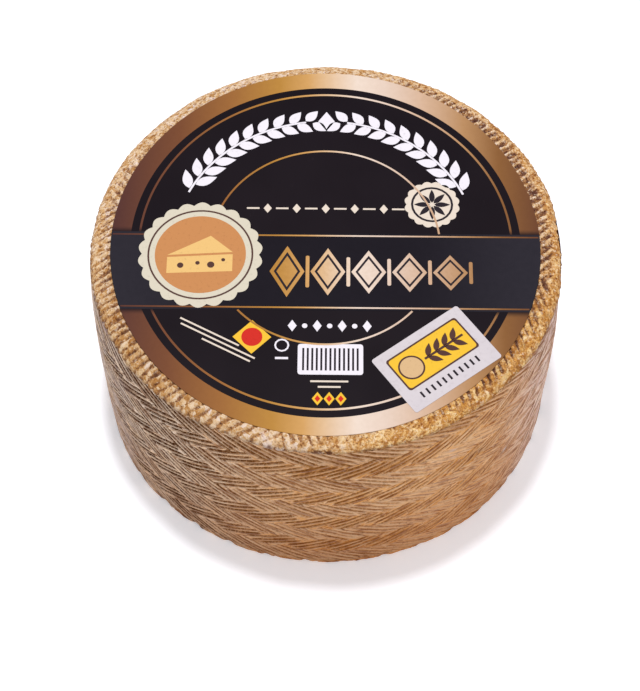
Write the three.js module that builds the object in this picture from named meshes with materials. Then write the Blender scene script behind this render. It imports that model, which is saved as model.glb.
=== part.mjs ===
import * as THREE from "three";

// A whole aged cheese wheel, uncut. Its side carries the herringbone print of a plaited grass band,
// and its rims carry the slanted ribs of the two press boards. A round paper label lies on the top,
// and a small sticker lies on the label.
// The base rests on z = 0, and the wheel's middle is on the Z axis. Sizes are in millimetres.

const wheelHeight = 108;
const wheelHalfWidth = 98.7;
const wheelHalfDepth = 95.4;

const labelRadius = 88;
const labelThickness = 0.4;
const labelShift = new THREE.Vector2(-0.6, -1.7);

const stickerLength = 43.2;
const stickerWidth = 29.3;
const stickerThickness = 0.3;
const stickerCorner = 1.1;
const stickerPlace = new THREE.Vector2(44.5, -53.1);
const stickerTurn = THREE.MathUtils.degToRad(37);

// The plaited band: nine rows of grass strands, which lean one way and then the other.
const plaitRows = 9;
const strandGroups = 35;
const strandsPerGroup = 3;
const strandWidths = [0.35, 0.35, 0.3];
const strandSlope = THREE.MathUtils.degToRad(27);
const strandDepth = 0.9;

// The ribs of the press boards lie parallel within each quarter of the rim.
const ribQuarters = 4;
const ribsPerQuarter = 38;
const firstQuarter = THREE.MathUtils.degToRad(34);
const ribDepth = 1.2;

// The side is fullest under its middle, and turns in at the top and, less, at the base.
const creaseDrop = 5.8;
const creaseInset = 1.7;
const baseRound = 1.4;
const baseRimInset = 2.8;
const bulgeHeight = 50;
const topInset = 1.9;
const baseInset = 0.7;
const rimSeatInset = 9.4;
const flatRadius = 85.5;
const flatSides = 75;

const rindColour = "#b48f66";
const labelColour = "#262026";
const stickerColour = "#e4e0e4";

const turn = 2 * Math.PI;
const strandCount = strandGroups * strandsPerGroup;
const rowHeight = (wheelHeight - creaseDrop - baseRound) / plaitRows;
const meanRadius = (wheelHalfWidth + wheelHalfDepth) / 2;
const rowShift = rowHeight / Math.tan(strandSlope) / meanRadius;

// The outline at its widest, a little wider than deep, with a slow unevenness all round.
function outlineRadius(angle) {
  const oval = ((wheelHalfWidth - wheelHalfDepth) / 2) * Math.cos(2 * angle);
  const uneven = 0.22 * Math.sin(3 * angle + 0.7) + 0.16 * Math.sin(5 * angle + 2.1);
  return meanRadius + oval + uneven;
}

// How far the side stands in from the widest outline at a height.
function sideInset(height) {
  const reach = (height - bulgeHeight) / (wheelHeight / 2);
  const most = height > bulgeHeight ? topInset : baseInset;
  return most * reach * reach;
}

// The crease sags in front, where the rim's edge was pressed over the side.
function creaseHeight(angle) {
  const front = Math.exp(-Math.pow((angle - 1.46 * Math.PI) / 0.3, 2));
  return wheelHeight - creaseDrop - 1.8 * front + 0.5 * Math.cos(angle);
}

function pointAt(angle, radius, height) {
  return new THREE.Vector3(radius * Math.cos(angle), radius * Math.sin(angle), height);
}

// Angles of the crests and the grooves between them, in turn, round the plaited side.
function strandAngles() {
  const angles = [];
  for (let group = 0; group < strandGroups; group += 1) {
    let start = group;
    for (const width of strandWidths) {
      angles.push((start * turn) / strandGroups);
      angles.push(((start + width / 2) * turn) / strandGroups);
      start += width;
    }
  }
  return angles;
}

// Angles of the rib crests and gaps on a circle, evenly spaced across each quarter's direction.
function ribAngles() {
  const angles = [];
  const steps = 2 * ribsPerQuarter;
  for (let quarter = 0; quarter < ribQuarters; quarter += 1) {
    const middle = firstQuarter + (quarter * turn) / ribQuarters;
    for (let step = 0; step < steps; step += 1) {
      const across = ((2 * step) / steps - 1) * Math.SQRT1_2;
      angles.push(middle + Math.asin(across));
    }
  }
  return angles;
}

// How far a rib has turned, as an angle, when it has run outwards by a share of the radius.
function ribLean(angle, share) {
  const quarterTurn = turn / ribQuarters;
  const fromMiddle = THREE.MathUtils.euclideanModulo(angle - firstQuarter + quarterTurn / 2, quarterTurn);
  const reach = (2 * fromMiddle) / quarterTurn - 1;
  return -share * reach * (1 - Math.pow(reach, 6)) * (quarterTurn / 2);
}

function isGroove(index) {
  return index % 2 === 1;
}

function flatRing(height) {
  const ring = [];
  for (let side = 0; side < flatSides; side += 1) {
    ring.push(pointAt((side * turn) / flatSides, flatRadius, height));
  }
  return ring;
}

// The top rim, as rings from the label's edge outwards and down to the crease.
function topRimRings() {
  const stations = [
    { inset: rimSeatInset, drop: 0.1, gap: 0.5 },
    { inset: 4.9, drop: 0.7, gap: 1.1 },
    { inset: 1.6, drop: 3.1, gap: 0.9 },
  ];
  const angles = ribAngles();
  const rings = stations.map(({ inset, drop, gap }) =>
    angles.map((angle, index) => {
      const leaned = angle + ribLean(angle, (rimSeatInset - inset) / meanRadius);
      const cut = isGroove(index) ? gap * ribDepth : 0;
      return pointAt(leaned, outlineRadius(leaned) - inset - cut / 2, wheelHeight - drop - cut / 2);
    }),
  );
  rings.push(
    angles.map((angle) => {
      const leaned = angle + ribLean(angle, rimSeatInset / meanRadius);
      return pointAt(leaned, outlineRadius(leaned) - creaseInset - 1, creaseHeight(leaned));
    }),
  );
  return rings;
}

// The plaited side, as rings from the crease down to the base, each turned against the last.
function sideRings() {
  const angles = strandAngles();
  const rings = [];
  for (let row = 0; row <= plaitRows; row += 1) {
    const lean = row % 2 === 1 ? rowShift : 0;
    rings.push(
      angles.map((angle, index) => {
        const leaned = angle + lean;
        const top = creaseHeight(leaned) - 0.8;
        const height = THREE.MathUtils.lerp(top, baseRound, row / plaitRows);
        const cut = isGroove(index) ? strandDepth : 0;
        return pointAt(leaned, outlineRadius(leaned) - sideInset(height) - cut, height);
      }),
    );
  }
  return rings;
}

// The base rim turns under, with shallow ribs that run out on the flat face it rests on.
function baseRimRings() {
  const stations = [
    { inset: baseRimInset, height: 0 },
    { inset: 10.5, height: 0 },
  ];
  const angles = strandAngles();
  const lean = rowShift;
  return stations.map(({ inset, height }) =>
    angles.map((angle, index) => {
      const leaned = angle + lean;
      const lift = isGroove(index) ? ribDepth / 2 : 0;
      return pointAt(leaned, outlineRadius(leaned) - inset, height + lift);
    }),
  );
}

// Collects triangles between closed rings whose points run round the Z axis in the same sense.
class Skin {
  constructor() {
    this.points = [];
    this.faces = [];
  }

  addRing(ring) {
    const first = this.points.length;
    this.points.push(...ring);
    return ring.map((point, index) => first + index);
  }

  // Joins an upper and a lower ring that have the same number of points.
  bridge(upper, lower) {
    for (let index = 0; index < upper.length; index += 1) {
      const next = (index + 1) % upper.length;
      const corners = [upper[index], upper[next], lower[index], lower[next]];
      const [a, b, c, d] = corners.map((corner) => this.points[corner]);
      if (a.distanceTo(d) < b.distanceTo(c)) {
        this.faces.push(corners[0], corners[2], corners[3], corners[0], corners[3], corners[1]);
      } else {
        this.faces.push(corners[0], corners[2], corners[1], corners[1], corners[2], corners[3]);
      }
    }
  }

  // Joins an upper and a lower ring that have different numbers of points, by their angles.
  zip(upper, lower) {
    const startAngle = this.angleOf(upper[0]);
    const fromStart = (corner) => THREE.MathUtils.euclideanModulo(this.angleOf(corner) - startAngle, turn);
    const upperAngles = upper.map(fromStart);
    const lowerOrder = [...lower].sort((a, b) => fromStart(a) - fromStart(b));
    const lowerAngles = lowerOrder.map(fromStart);
    let up = 0;
    let low = 0;
    while (up < upper.length || low < lower.length) {
      const upCorner = upper[up % upper.length];
      const lowCorner = lowerOrder[low % lower.length];
      const nextUp = up + 1 < upper.length ? upperAngles[up + 1] : turn;
      const nextLow = low + 1 < lower.length ? lowerAngles[low + 1] : turn + lowerAngles[0];
      if (low >= lower.length || (up < upper.length && nextUp <= nextLow)) {
        up += 1;
        this.faces.push(upCorner, lowCorner, upper[up % upper.length]);
      } else {
        low += 1;
        this.faces.push(upCorner, lowCorner, lowerOrder[low % lower.length]);
      }
    }
  }

  angleOf(corner) {
    return Math.atan2(this.points[corner].y, this.points[corner].x);
  }

  // Closes a ring with a fan on the Z axis. The fan faces up over a top ring and down under a base ring.
  cap(ring, height, facesUp) {
    const [middle] = this.addRing([new THREE.Vector3(0, 0, height)]);
    for (let index = 0; index < ring.length; index += 1) {
      const next = ring[(index + 1) % ring.length];
      const corners = facesUp ? [middle, ring[index], next] : [middle, next, ring[index]];
      this.faces.push(...corners);
    }
  }

  geometry() {
    const made = new THREE.BufferGeometry().setFromPoints(this.points);
    made.setIndex(this.faces);
    return made;
  }
}

function wheelGeometry() {
  const skin = new Skin();
  const topFlat = skin.addRing(flatRing(wheelHeight));
  const topRim = topRimRings().map((ring) => skin.addRing(ring));
  const side = sideRings().map((ring) => skin.addRing(ring));
  const baseRim = baseRimRings().map((ring) => skin.addRing(ring));
  const baseFlat = skin.addRing(flatRing(0));

  skin.cap(topFlat, wheelHeight, true);
  skin.zip(topFlat, topRim[0]);
  topRim.slice(1).forEach((ring, index) => skin.bridge(topRim[index], ring));
  skin.zip(topRim.at(-1), side[0]);
  side.slice(1).forEach((ring, index) => skin.bridge(side[index], ring));
  skin.bridge(side.at(-1), baseRim[0]);
  skin.bridge(baseRim[0], baseRim[1]);
  skin.zip(baseRim[1], baseFlat);
  skin.cap(baseFlat, 0, false);
  return skin.geometry();
}

function labelGeometry() {
  const roundSides = 120;
  const disc = new THREE.CylinderGeometry(labelRadius, labelRadius, labelThickness, roundSides);
  disc.rotateX(Math.PI / 2);
  disc.translate(0, 0, labelThickness / 2);
  return disc;
}

function stickerGeometry() {
  const halfLength = stickerLength / 2;
  const halfWidth = stickerWidth / 2;
  const corners = [
    [halfLength, halfWidth],
    [-halfLength, halfWidth],
    [-halfLength, -halfWidth],
    [halfLength, -halfWidth],
  ];
  const outline = new THREE.Shape();
  corners.forEach(([x, y], index) => {
    const startAngle = (index * turn) / corners.length;
    const middleX = x - Math.sign(x) * stickerCorner;
    const middleY = y - Math.sign(y) * stickerCorner;
    outline.absarc(middleX, middleY, stickerCorner, startAngle, startAngle + turn / corners.length, false);
  });
  return new THREE.ExtrudeGeometry(outline, {
    depth: stickerThickness,
    bevelEnabled: false,
    curveSegments: 6,
  });
}

function namedMesh(name, geometry, colour, roughness) {
  const material = new THREE.MeshStandardMaterial({ color: colour, roughness, metalness: 0 });
  const mesh = new THREE.Mesh(geometry, material);
  mesh.name = name;
  return mesh;
}

const cheese = new THREE.Group();
cheese.add(namedMesh("wheel", wheelGeometry(), rindColour, 0.7));

const paper = new THREE.Group();
paper.position.set(labelShift.x, labelShift.y, wheelHeight);
paper.add(namedMesh("label", labelGeometry(), labelColour, 0.35));

const sticker = namedMesh("sticker", stickerGeometry(), stickerColour, 0.5);
sticker.position.set(stickerPlace.x, stickerPlace.y, labelThickness);
sticker.rotation.z = stickerTurn;
paper.add(sticker);
cheese.add(paper);

export default cheese;
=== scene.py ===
import math

import bpy
import numpy as np
from mathutils import Euler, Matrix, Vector


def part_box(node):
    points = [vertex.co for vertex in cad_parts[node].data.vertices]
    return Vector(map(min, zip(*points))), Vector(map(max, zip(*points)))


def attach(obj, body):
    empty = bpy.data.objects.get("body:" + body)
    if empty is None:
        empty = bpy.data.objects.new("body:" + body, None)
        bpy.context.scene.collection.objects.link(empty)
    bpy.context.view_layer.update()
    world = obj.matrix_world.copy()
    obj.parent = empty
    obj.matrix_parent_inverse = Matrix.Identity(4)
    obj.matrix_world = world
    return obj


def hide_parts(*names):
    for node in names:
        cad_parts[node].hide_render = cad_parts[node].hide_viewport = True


# A whole aged cheese wheel with the print of a plaited grass band on its side, ribbed rims,
# a round paper label on its top and a small sticker on the label.
# Lengths are in millimetres and become metres where a mesh is made. Angle 0 is +X, and angles
# grow towards +Y, which is the back.

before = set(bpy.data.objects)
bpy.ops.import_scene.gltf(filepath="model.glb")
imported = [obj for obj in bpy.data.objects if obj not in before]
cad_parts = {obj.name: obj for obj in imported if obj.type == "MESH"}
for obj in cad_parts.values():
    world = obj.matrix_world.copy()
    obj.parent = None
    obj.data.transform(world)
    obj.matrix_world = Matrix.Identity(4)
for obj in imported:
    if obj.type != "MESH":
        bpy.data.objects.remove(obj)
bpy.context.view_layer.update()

MM = 0.001
TURN = 2 * math.pi
wheel_low, wheel_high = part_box("wheel")
label_low, label_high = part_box("label")
sticker_low, sticker_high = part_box("sticker")

# The wheel's body
WHEEL_HEIGHT = wheel_high.z / MM
HALF_WIDTH = (wheel_high.x - wheel_low.x) / 2 / MM
HALF_DEPTH = (wheel_high.y - wheel_low.y) / 2 / MM
MEAN_RADIUS = (HALF_WIDTH + HALF_DEPTH) / 2
BULGE_HEIGHT = 50
TOP_INSET = 1.9
BASE_INSET = 0.7
BASE_ROUND = 2.6
CREASE_DROP = 5.2
SIDE_TOP_DROP = 0.8

# The plaited band: rows of strands, in groups of three, that lean one way and then the other.
PLAIT_ROWS = 9
STRAND_GROUPS = 35
STRAND_SLOPE = math.radians(27)
STRAND_PITCH = 2.73
STRAND_STAGGER = 1.26
STRAND_LENGTH = 21.0
GROUP_PITCH = TURN * MEAN_RADIUS / STRAND_GROUPS
ROW_HEIGHT = (WHEEL_HEIGHT - CREASE_DROP - SIDE_TOP_DROP - BASE_ROUND) / PLAIT_ROWS
ROW_STEPS = 13
ROW_GRAIN_APART = 7.3
BASE_GRAIN_APART = 80
COLUMNS_PER_STRAND = 3

# The ribs of the press board lie parallel within each quarter of the rim.
RIB_PITCH = 3.275
RIB_DEPTH = 1.25
FIRST_QUARTER = math.radians(34)
QUARTER_SLEWS = [math.radians(turned) for turned in (9, 0, -12, -12)]
LIP_INSET = 1.35
RAISED_EDGE = 0.5
RIM_COLUMNS = 1400
RIM_STEP = 0.55

# The rim's section from under the label out and over its lip: shares of the way from the lip to
# the label's edge, and drops below the top.
RIM_KNOTS = [
    (1.7, 0.0),
    (1.0, 0.0),
    (0.8, 0.3),
    (0.55, 1.0),
    (0.32, 1.95),
    (0.14, 3.1),
    (0.04, 4.1),
    (0.0, 4.9),
    (-0.05, 6.0),
]

# The label and the sticker
LABEL_X = (label_low.x + label_high.x) / 2 / MM
LABEL_Y = (label_low.y + label_high.y) / 2 / MM
LABEL_TOP = label_high.z / MM
LABEL_RADIUS = (label_high.x - label_low.x) / 2 / MM
STICKER_X = (sticker_low.x + sticker_high.x) / 2 / MM - LABEL_X
STICKER_Y = (sticker_low.y + sticker_high.y) / 2 / MM - LABEL_Y
STICKER_TOP = sticker_high.z / MM
STICKER_TURN = math.radians(37)
INK_THICKNESS = 0.03
INK_SUNK = 0.02
BORDER_INNER = 0.9095 * LABEL_RADIUS
LINE_RADIUS = 0.8683 * LABEL_RADIUS
INNER_LINE_RADIUS = 0.534 * LABEL_RADIUS
LINE_WIDTH = 0.8
BAND_TOP = 4.6
BAND_BASE = -29.9
BAND_OVERLAP = 1.3
SPRAY_RADIUS = 62.5


# Small helpers for numbers
def smooth_step(low, high, values):
    """0 at low and 1 at high, with a smooth change between them. Low may be the greater one."""
    share = np.clip((values - low) / (high - low), 0, 1)
    return share * share * (3 - 2 * share)


def hump(centre, width, values):
    """1 at the centre and falling away on both sides."""
    return np.exp(-(((values - centre) / width) ** 2))


def angle_hump(degrees, width, angles):
    """A hump at an angle round the wheel, given in degrees."""
    away = np.remainder(angles - math.radians(degrees) + math.pi, TURN) - math.pi
    return hump(0, math.radians(width), away)


def uneven(seed, around, along):
    """A smooth random field from -1 to 1 over angles round the wheel and a distance. It has the
    given number of cells in a turn, and each cell is as long as along says."""
    cells = 64
    lattice = np.random.default_rng(seed).uniform(-1, 1, (around, cells))

    def field(angles, distance):
        across = np.remainder(angles / TURN, 1) * around
        down = np.asarray(distance) / along + cells / 2
        column = np.floor(across).astype(int)
        row = np.floor(down).astype(int)
        u = smooth_step(0, 1, across - column)
        v = smooth_step(0, 1, down - row)
        left = column % around
        right = (column + 1) % around
        low = row % cells
        high = (row + 1) % cells
        near = lattice[left, low] * (1 - u) + lattice[right, low] * u
        far = lattice[left, high] * (1 - u) + lattice[right, high] * u
        return near * (1 - v) + far * v

    return field


def crumb_facets(seed, cell):
    """Tilted facets of crumbs of about the given size, from -1 to 1, over two distances.
    Each point takes the facet of the crumb whose middle is nearest."""
    size = 256
    random = np.random.default_rng(seed)
    slips = random.uniform(-0.42, 0.42, (size, size, 2))
    tilts = random.uniform(-1, 1, (size, size, 3))

    def field(first, second):
        x = np.asarray(first) / cell
        y = np.asarray(second) / cell
        column = np.floor(x).astype(int)
        row = np.floor(y).astype(int)
        nearest = np.full(x.shape, np.inf)
        height = np.zeros(x.shape)
        for column_step in (-1, 0, 1):
            for row_step in (-1, 0, 1):
                i = (column + column_step) % size
                j = (row + row_step) % size
                away_x = x - (column + column_step + 0.5 + slips[i, j, 0])
                away_y = y - (row + row_step + 0.5 + slips[i, j, 1])
                away = away_x ** 2 + away_y ** 2
                facet = tilts[i, j, 0] * 0.6 + tilts[i, j, 1] * away_x * 0.7 + tilts[i, j, 2] * away_y * 0.7
                height = np.where(away < nearest, facet, height)
                nearest = np.minimum(nearest, away)
        return height

    return field


# The wheel's form, as in the frame
def outline(angles):
    """The wheel's radius at its widest, a little wider than deep and slowly uneven."""
    oval = (HALF_WIDTH - HALF_DEPTH) / 2 * np.cos(2 * angles)
    return MEAN_RADIUS + oval + 0.22 * np.sin(3 * angles + 0.7) + 0.16 * np.sin(5 * angles + 2.1)


def side_inset(angles, heights):
    """How far the side stands in from the outline. It is fuller at the left, and stands in more
    under the rim at the right."""
    fullest = BULGE_HEIGHT + 24 * angle_hump(192, 22, angles)
    at_top = TOP_INSET + pressed_in(angles)
    at_base = BASE_INSET + 0.3 * angle_hump(198, 18, angles)
    most = np.where(heights > fullest, at_top, at_base)
    return most * ((heights - fullest) / (WHEEL_HEIGHT / 2)) ** 2


def pressed_in(angles):
    """The rim's edge is pressed in a little at the right and at the upper left."""
    return 1.3 * angle_hump(3, 13, angles) + 0.9 * angle_hump(137, 15, angles)


def crease_height(angles):
    """The height of the crease between the rim and the side, which sags a little in front."""
    sag = 0.3 * angle_hump(263, 17, angles)
    return WHEEL_HEIGHT - CREASE_DROP - sag + 0.5 * np.cos(angles)


# Meshes
def new_piece(name, points, faces, finish, smooth=True):
    """A mesh object from points in millimetres."""
    mesh = bpy.data.meshes.new(name)
    mesh.from_pydata((np.asarray(points) * MM).tolist(), [], faces)
    mesh.materials.append(finish.material)
    mesh.polygons.foreach_set("use_smooth", [smooth] * len(mesh.polygons))
    mesh.update()
    piece = bpy.data.objects.new(name, mesh)
    bpy.context.scene.collection.objects.link(piece)
    return piece


def ring_faces(rows, columns):
    """Quads between rings of points that run round the Z axis, the first ring on top, with a fan
    over the first ring and one under the last. The fans' middle points come after the rings."""
    row, column = np.meshgrid(np.arange(rows - 1), np.arange(columns), indexing="ij")
    right = (column + 1) % columns
    upper = row * columns
    lower = upper + columns
    corners = [upper + column, lower + column, lower + right, upper + right]
    quads = np.stack([corner.ravel() for corner in corners], axis=1).tolist()
    middle_top = rows * columns
    last = (rows - 1) * columns
    ring = range(columns)
    top_fan = [[middle_top, c, (c + 1) % columns] for c in ring]
    base_fan = [[middle_top + 1, last + (c + 1) % columns, last + c] for c in ring]
    return quads + top_fan + base_fan


def ring_piece(name, angles, radii, heights, top_middle, base_middle, finish):
    """A closed round piece from rows of rings, all as arrays of rows by columns."""
    rings = np.stack([radii * np.cos(angles), radii * np.sin(angles), heights], axis=2).reshape(-1, 3)
    middles = np.array([[0, 0, top_middle], [0, 0, base_middle]])
    return new_piece(name, np.vstack([rings, middles]), ring_faces(*angles.shape), finish)


def mark_points(piece, name, values):
    """Stores a number for each point. The two middle points of a ring piece get nothing."""
    stored = np.zeros(len(piece.data.vertices), np.float32)
    stored[:values.size] = values.ravel()
    piece.data.attributes.new(name, "FLOAT", "POINT").data.foreach_set("value", stored)


def mark_all(piece, marks):
    for name, values in marks.items():
        mark_points(piece, name, values)


# Finishes
def colour(red, green, blue):
    """A colour as a painter names it, from 0 to 255, turned into light for a shader."""
    def light(part):
        share = part / 255
        return share / 12.92 if share <= 0.04045 else ((share + 0.055) / 1.055) ** 2.4
    return (light(red), light(green), light(blue), 1.0)


class Value:
    """A socket of a finish, so that a sum on it is written as a sum and adds its Math nodes."""

    def __init__(self, finish, socket):
        self.finish = finish
        self.socket = socket

    def sum(self, operation, first, second):
        return self.finish.node("ShaderNodeMath", {"operation": operation}, {0: first, 1: second})

    def __add__(self, other):
        return self.sum("ADD", self, other)

    __radd__ = __add__

    def __sub__(self, other):
        return self.sum("SUBTRACT", self, other)

    def __rsub__(self, other):
        return self.sum("SUBTRACT", other, self)

    def __mul__(self, other):
        return self.sum("MULTIPLY", self, other)

    __rmul__ = __mul__

    def __abs__(self):
        return self.finish.node("ShaderNodeMath", {"operation": "ABSOLUTE"}, {0: self})

    def at_least(self, other):
        return self.sum("MAXIMUM", self, other)


class Finish:
    """The finish of one kind of surface, with its shader built node by node."""

    def __init__(self, name, roughness, specular=0.5):
        self.material = bpy.data.materials.new(name)
        self.material.use_nodes = True
        self.tree = self.material.node_tree
        self.shader = self.tree.nodes["Principled BSDF"]
        self.shader.inputs["Roughness"].default_value = roughness
        self.shader.inputs["Specular IOR Level"].default_value = specular

    def node(self, kind, settings=None, inputs=None, output=0):
        made = self.tree.nodes.new(kind)
        for name, setting in (settings or {}).items():
            if name == "stops":
                self.place_stops(made.color_ramp, setting)
            else:
                setattr(made, name, setting)
        for name, value in (inputs or {}).items():
            self.feed(made.inputs[name], value)
        return Value(self, made.outputs[output])

    def feed(self, socket, value):
        if isinstance(value, Value):
            self.tree.links.new(value.socket, socket)
        else:
            socket.default_value = value

    def place_stops(self, ramp, stops):
        while len(ramp.elements) < len(stops):
            ramp.elements.new(1)
        for element, (place, shade) in zip(ramp.elements, stops):
            element.position = place
            element.color = shade

    def place(self):
        return self.node("ShaderNodeTexCoord", output="Object")

    def mark(self, name, output="Fac"):
        return self.node("ShaderNodeAttribute", {"attribute_name": name}, output=output)

    def stretched(self, vector, scale):
        return self.node("ShaderNodeVectorMath", {"operation": "MULTIPLY"}, {0: vector, 1: scale})

    def noise(self, vector, scale, detail=2.0, roughness=0.5):
        inputs = {"Vector": vector, "Scale": scale, "Detail": detail, "Roughness": roughness}
        return self.node("ShaderNodeTexNoise", inputs=inputs)

    def step(self, value, low, high):
        """0 below low, 1 above high, and a smooth rise between them."""
        inputs = {"Value": value, "From Min": low, "From Max": high}
        return self.node("ShaderNodeMapRange", {"interpolation_type": "SMOOTHSTEP"}, inputs)

    def mix(self, share, first, second):
        return self.node("ShaderNodeMix", {"data_type": "RGBA"}, {0: share, 6: first, 7: second}, output=2)

    def tint(self, share, first, second):
        """Darkens the first colour by the second, which is near white where it changes little."""
        settings = {"data_type": "RGBA", "blend_type": "MULTIPLY"}
        return self.node("ShaderNodeMix", settings, {0: share, 6: first, 7: second}, output=2)

    def ramp(self, value, stops):
        return self.node("ShaderNodeValToRGB", {"stops": stops}, {"Fac": value})

    def part(self, vector, output):
        return self.node("ShaderNodeSeparateXYZ", inputs={0: vector}, output=output)

    def base(self, value):
        self.feed(self.shader.inputs["Base Color"], value)

    def roughness(self, value):
        self.feed(self.shader.inputs["Roughness"], value)

    def relief(self, height, depth, strength=1.0):
        inputs = {"Height": height, "Distance": depth * MM, "Strength": strength}
        self.feed(self.shader.inputs["Normal"], self.node("ShaderNodeBump", inputs=inputs, output="Normal"))


def per_mm(cells):
    """A noise scale, for object coordinates in metres, from a number of cells in a millimetre."""
    return cells / MM


def side_finish():
    """Dry rind under the plaited band: fibrous crests, brown grooves darkened further with painted shade,
    greyer at the left. It also carries painted highlights along the crests' edges and in the falling rows,
    and painted shade towards the base and under the crease.
    """
    rind = Finish("rind_side", 0.85, specular=0.02)
    place = rind.place()
    strand = rind.mark("strand", "Vector")
    groove = rind.mark("groove")
    fibres = rind.noise(rind.stretched(strand, (0.12, 0.95, 1)), 1.0, detail=3.0, roughness=0.65)
    streaks = rind.noise(rind.stretched(strand, (0.05, 0.4, 1)), 1.0, detail=2.0, roughness=0.6)
    beads = rind.stretched(strand, (0.42, 0.75, 1))
    ties = rind.node("ShaderNodeTexVoronoi", {"feature": "DISTANCE_TO_EDGE"}, {"Vector": beads, "Scale": 1.0})
    grain = rind.noise(place, per_mm(0.9), detail=3.0, roughness=0.7)
    clouds = rind.noise(place, per_mm(0.04), detail=3.0, roughness=0.6)
    grey = rind.mark("grey")
    pink = rind.mark("pink")
    combed = 0.1 + 0.85 * grey.at_least(pink * 0.7)

    crest = rind.mix(rind.step(clouds, 0.36, 0.64), colour(230, 170, 106), colour(212, 149, 83))
    crest = rind.mix(grey, crest, colour(250, 220, 184))
    pinkish_share = pink * (0.35 + 0.65 * rind.step(streaks, 0.42, 0.58))
    crest = rind.mix(pinkish_share, crest, colour(234, 208, 208))
    # Painted highlight on the crests of the falling rows in front.
    crest = rind.mix(rind.mark("cream"), crest, colour(224, 182, 142))
    groove_brown_and_shade = rind.mix(grey, colour(140, 90, 46), colour(84, 50, 24))
    tied = rind.step(ties, 0.13, 0.03)
    groove_shade_share = rind.step(groove * (1 - 0.35 * tied), 0.0, 0.8 - 0.22 * grey)
    # Painted highlight: a pale line along the edges of the crests beside the grooves.
    wear_and_highlight = rind.step(groove, 0.02, 0.14) * rind.step(groove, 0.42, 0.22)
    pale = rind.mix(combed, colour(234, 198, 156), colour(244, 224, 204))
    dark_fibre = rind.mix(combed, colour(180, 146, 118), colour(142, 102, 70))
    body = rind.tint(rind.step(fibres, 0.49, 0.39) * 0.9, crest, dark_fibre)
    body = rind.tint(rind.step(streaks, 0.49, 0.43) * combed, body, colour(154, 114, 80))
    body = rind.mix(rind.step(fibres, 0.53, 0.62) * (0.45 + 0.4 * combed), body, pale)
    body = rind.mix(rind.step(streaks, 0.52, 0.62) * combed, body, pale)
    body = rind.mix(wear_and_highlight * (0.25 + 0.35 * grey), body, colour(240, 216, 192))
    # The grooves' brown is partly the rind's colour and partly painted shade in the hollows.
    body = rind.mix(groove_shade_share, body, groove_brown_and_shade)
    body = rind.mix(tied * groove * 0.25, body, crest)
    body = rind.mix(rind.step(grain, 0.58, 0.74) * 0.3, body, colour(230, 200, 168))
    body = rind.tint(rind.step(grain, 0.44, 0.3) * 0.55, body, colour(152, 118, 90))
    # Painted shade, darker towards the base and round the left.
    body = rind.tint(rind.mark("dusk"), body, colour(226, 212, 202))
    body = rind.mix(rind.mark("bloom"), body, colour(226, 210, 205))
    # Stains, with painted shade under the crease and in the scrapes.
    stained_and_shaded = rind.mark("stain") * (0.5 + 0.5 * rind.step(streaks, 0.56, 0.46))
    body = rind.tint(stained_and_shaded, body, colour(100, 68, 56))
    rind.base(body)
    rind.roughness(0.75 + 0.2 * grain)
    rind.relief(fibres * 0.8 + grain * 0.6 - ties * 0.2, 0.5, 0.7)
    return rind


def rim_finish():
    """Crumbly rind of the rim: cream and golden flakes on the ribs, and dark pits in the gaps, whose darkness
    is partly painted shade.
    """
    rind = Finish("rind_rim", 0.75, specular=0.12)
    place = rind.place()
    gap = rind.mark("gap")
    grain = rind.noise(place, per_mm(0.8), detail=3.0, roughness=0.7)
    bent = rind.node("ShaderNodeVectorMath", {"operation": "MULTIPLY_ADD"},
                     {0: rind.noise(place, per_mm(0.35), detail=2.0), 1: (0.003, 0.003, 0.003), 2: place})
    flakes = rind.node("ShaderNodeTexVoronoi", {}, {"Vector": bent, "Scale": per_mm(1.05)}, output="Color")
    patches = rind.node("ShaderNodeTexVoronoi", {}, {"Vector": bent, "Scale": per_mm(0.42)}, output="Color")
    rough = rind.mark("rough")
    flake = rind.part(flakes, "X") * (0.3 + 0.3 * rough) + rind.part(patches, "Y") * (0.7 - 0.3 * rough)
    pale = rind.mark("pale")

    crest = rind.ramp(flake + 0.35 * pale - 0.1, [
        (0.1, colour(182, 126, 66)),
        (0.35, colour(208, 160, 102)),
        (0.55, colour(226, 190, 144)),
        (0.78, colour(238, 212, 180)),
        (1.0, colour(240, 220, 212)),
    ])
    gold = rind.ramp(flake + 0.15 * pale, [
        (0.1, colour(170, 108, 48)),
        (0.5, colour(212, 152, 74)),
        (0.9, colour(246, 210, 144)),
    ])
    crest = rind.mix(rind.mark("golden"), crest, gold)
    flank = rind.mix(flake + 0.4 * pale, colour(160, 104, 52), colour(208, 154, 96))
    pit = rind.mix(flake, colour(78, 44, 34), colour(126, 84, 66))
    body = rind.mix(rind.step(gap, 0.15, 0.75), crest, flank)
    speck = rind.noise(place, per_mm(1.4), detail=1.0)
    specked = rind.step(speck, 0.56, 0.64) * (0.3 * rough + 0.7 * rind.step(gap, 0.1, 0.5))
    body = rind.tint(specked, body, colour(128, 76, 60))
    # Darkens the gaps, partly as painted shade.
    body = rind.mix(rind.mark("burn"), body, pit)
    body = rind.mix(rind.step(grain, 0.55, 0.65) * 0.5, body, colour(246, 226, 200))
    body = rind.tint(rind.step(grain, 0.46, 0.36) * (0.35 + 0.5 * rough), body, colour(150, 98, 66))
    body = rind.tint(rind.mark("shade"), body, colour(112, 72, 48))
    rind.base(body)
    rind.roughness(0.6 + 0.25 * grain)
    rind.relief((grain * 0.55 + flake * 0.4) * (0.5 + 0.5 * rough), 0.6, 0.6)
    return rind


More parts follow.
